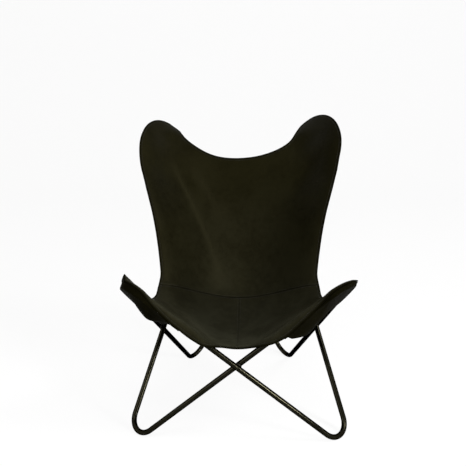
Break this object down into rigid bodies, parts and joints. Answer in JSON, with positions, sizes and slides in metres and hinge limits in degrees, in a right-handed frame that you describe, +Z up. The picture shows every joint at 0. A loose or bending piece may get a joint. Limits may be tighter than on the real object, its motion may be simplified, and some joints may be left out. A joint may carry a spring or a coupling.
{
  "type": "butterfly sling chair",
  "caption": "Low lounge chair with a black leather sling hung by corner pockets on two crossing loops of black lacquered steel rod.",
  "frame": {"origin": "on the floor under the middle of the chair's bounding box", "axes": "+Z up, -Y the way that the sitter looks, +X to the right in a view of the chair's front"},
  "size_m": [0.7104, 0.7984, 0.9036],
  "materials": {
    "lacquered_rod": "satin black lacquer",
    "sling_leather": "semi-matt black, fine grain",
    "seat_leather": "semi-matt black, worn smooth by sitting",
    "hem_leather": "turned and stitched edge",
    "seam_tape": "woven black tape"
  },
  "bodies": {
    "root": {"frame_rod_left": "lacquered_rod", "frame_rod_right": "lacquered_rod", "weld_front": "lacquered_rod", "weld_rear": "lacquered_rod", "weld_left": "lacquered_rod", "weld_right": "lacquered_rod", "back_panel": "sling_leather", "seat_panel_left": "seat_leather", "seat_panel_right": "seat_leather", "pocket_front_left": "sling_leather", "pocket_front_right": "sling_leather", "pocket_rear_left": "sling_leather", "pocket_rear_right": "sling_leather", "hem_top": "hem_leather", "hem_front": "hem_leather", "hem_left": "hem_leather", "hem_right": "hem_leather", "seat_back_seam_tape": "seam_tape", "seat_center_seam_tape": "seam_tape"}
  },
  "joints": []
}
